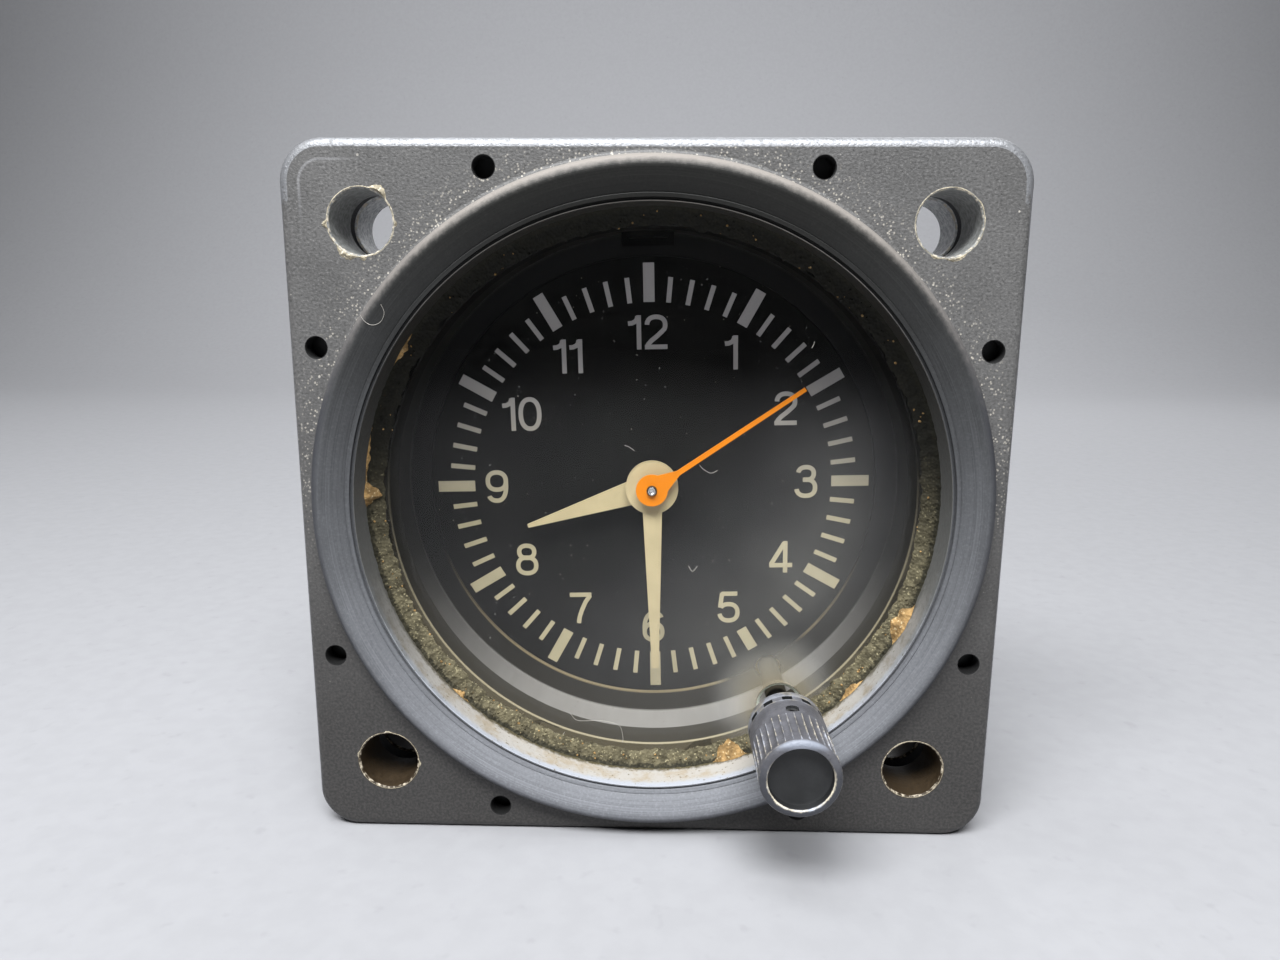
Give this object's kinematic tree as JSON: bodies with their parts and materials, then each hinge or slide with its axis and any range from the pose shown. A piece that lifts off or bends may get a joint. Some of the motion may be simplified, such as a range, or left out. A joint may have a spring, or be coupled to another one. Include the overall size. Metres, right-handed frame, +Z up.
{
  "type": "aircraft panel clock",
  "caption": "Square-flanged aircraft panel clock with a dished ring, recessed black dial, cream and orange hands, a fluted pull-to-set knob and a round rear connector.",
  "frame": {"origin": "centre of the flange's front face, which lies against the back of the instrument panel", "axes": "+X to the right as seen from the front, +Y towards the back, +Z up (12 o'clock)"},
  "size_m": [0.0604, 0.0695, 0.0604],
  "materials": {
    "body_paint": "dark grey paint on aluminium, worn to bare metal on edges",
    "knob_paint": "blue-grey satin paint, worn on the edges",
    "glass": "clear, polished, ground bevel at the stem hole",
    "sealant": "dull olive bead",
    "rubber": "matt black",
    "black_plastic": "matt black",
    "dial_black": "matt black paint",
    "cream_print": "flat cream print",
    "cream_paint": "cream luminous paint",
    "orange_paint": "bright orange paint",
    "brass": "brushed",
    "bronze": "rolled spring strip",
    "copper": "enamelled wire",
    "bare_aluminium": "satin",
    "white_plastic": "moulded",
    "board_green": "solder mask",
    "blue_sleeve": "shrink sleeve",
    "magnet": "sintered",
    "soft_iron": "annealed sheet",
    "tin_can": "tinned",
    "steel": "turned"
  },
  "bodies": {
    "case_assembly": {"bezel": "body_paint", "glass": "glass", "glass_seal": "sealant", "bezel_gasket": "rubber", "bezel_screws": "steel", "case": "body_paint", "cover_gasket": "rubber", "rear_cover": "body_paint", "cover_screws": "steel", "connector_shell": "bare_aluminium", "connector_insert": "black_plastic", "connector_pins": "brass", "connector_screws": "steel", "mask_ring": "black_plastic", "dial": "dial_black", "dial_markings": "cream_print", "front_plate": "brass", "middle_plate": "brass", "back_plate": "brass", "front_pillars": "steel", "rear_pillars": "steel", "plate_screws": "steel", "motion_posts": "steel", "yoke_guide_pin": "steel", "detent_spring": "bronze", "hack_contact": "bronze", "stator": "soft_iron", "stator_posts": "steel", "stator_screws": "steel", "coil_core": "soft_iron", "coil_bobbin": "white_plastic", "coil_winding": "copper", "coil_leads": "copper", "circuit_board": "board_green", "board_spacers": "steel", "board_screws": "steel", "crystal": "tin_can", "timing_chip": "black_plastic", "trimmer": "white_plastic", "filter_capacitor": "blue_sleeve"},
    "stem_carrier": {"stem_yoke": "steel"},
    "setting_knob": {"stem": "steel", "knob": "knob_paint", "knob_set_screw": "steel", "setting_pinion": "steel"},
    "idler": {"setting_idler": "brass"},
    "minute_wheel": {"minute_wheel": "brass"},
    "minute_hand": {"minute_hand": "cream_paint", "cannon_pinion": "steel", "clutch_spring": "bronze"},
    "hour_hand": {"hour_hand": "cream_paint", "hour_wheel": "brass"},
    "second_hand": {"second_hand": "orange_paint", "seconds_wheel": "brass"},
    "third_wheel": {"third_wheel": "brass"},
    "intermediate_wheel": {"intermediate_wheel": "brass"},
    "rotor": {"rotor_pinion": "steel", "rotor_magnet": "magnet"},
    "centre_wheel": {"centre_wheel": "brass"}
  },
  "joints": [
    {"name": "setting_pull", "type": "slide", "parent": "case_assembly", "child": "stem_carrier", "axis": [0, -1, 0], "range_m": [0, 0.002], "deforming": ["detent_spring"]},
    {"name": "setting_turn", "type": "hinge", "parent": "stem_carrier", "child": "setting_knob", "pos_m": [0.01192, 0, -0.01893], "axis": [0, 1, 0], "continuous": true},
    {"name": "idler_spin", "type": "hinge", "parent": "case_assembly", "child": "idler", "pos_m": [0.01171, 0.016, -0.01196], "axis": [0, 1, 0], "continuous": true},
    {"name": "minute_wheel_spin", "type": "hinge", "parent": "case_assembly", "child": "minute_wheel", "pos_m": [0.00362, 0.016, -0.00575], "axis": [0, 1, 0], "continuous": true},
    {"name": "minute_spin", "type": "hinge", "parent": "case_assembly", "child": "minute_hand", "pos_m": [0, 0.009, 0], "axis": [0, 1, 0], "continuous": true},
    {"name": "hour_spin", "type": "hinge", "parent": "case_assembly", "child": "hour_hand", "pos_m": [0, 0.01, 0], "axis": [0, 1, 0], "continuous": true},
    {"name": "second_spin", "type": "hinge", "parent": "case_assembly", "child": "second_hand", "pos_m": [0, 0.0081, 0], "axis": [0, 1, 0], "continuous": true},
    {"name": "third_spin", "type": "hinge", "parent": "case_assembly", "child": "third_wheel", "pos_m": [-0.00544, 0.022, 0.00863], "axis": [0, 1, 0], "continuous": true},
    {"name": "intermediate_spin", "type": "hinge", "parent": "case_assembly", "child": "intermediate_wheel", "pos_m": [-0.00611, 0.026, -0.00382], "axis": [0, 1, 0], "continuous": true},
    {"name": "rotor_spin", "type": "hinge", "parent": "case_assembly", "child": "rotor", "pos_m": [-0.00394, 0.028, -0.00973], "axis": [0, 1, 0], "continuous": true},
    {"name": "centre_spin", "type": "hinge", "parent": "case_assembly", "child": "centre_wheel", "pos_m": [0, 0.0178, 0], "axis": [0, 1, 0], "continuous": true}
  ],
  "couplings": [
    {"joint": "idler_spin", "follows": "setting_turn", "ratio": -0.36667},
    {"joint": "minute_wheel_spin", "follows": "setting_turn", "ratio": 0.36667},
    {"joint": "minute_spin", "follows": "setting_turn", "ratio": -1.1},
    {"joint": "hour_spin", "follows": "setting_turn", "ratio": -0.091667},
    {"joint": "intermediate_spin", "follows": "second_spin", "ratio": -5},
    {"joint": "rotor_spin", "follows": "second_spin", "ratio": 30},
    {"joint": "third_spin", "follows": "second_spin", "ratio": -0.13333},
    {"joint": "centre_spin", "follows": "second_spin", "ratio": 0.016667}
  ]
}
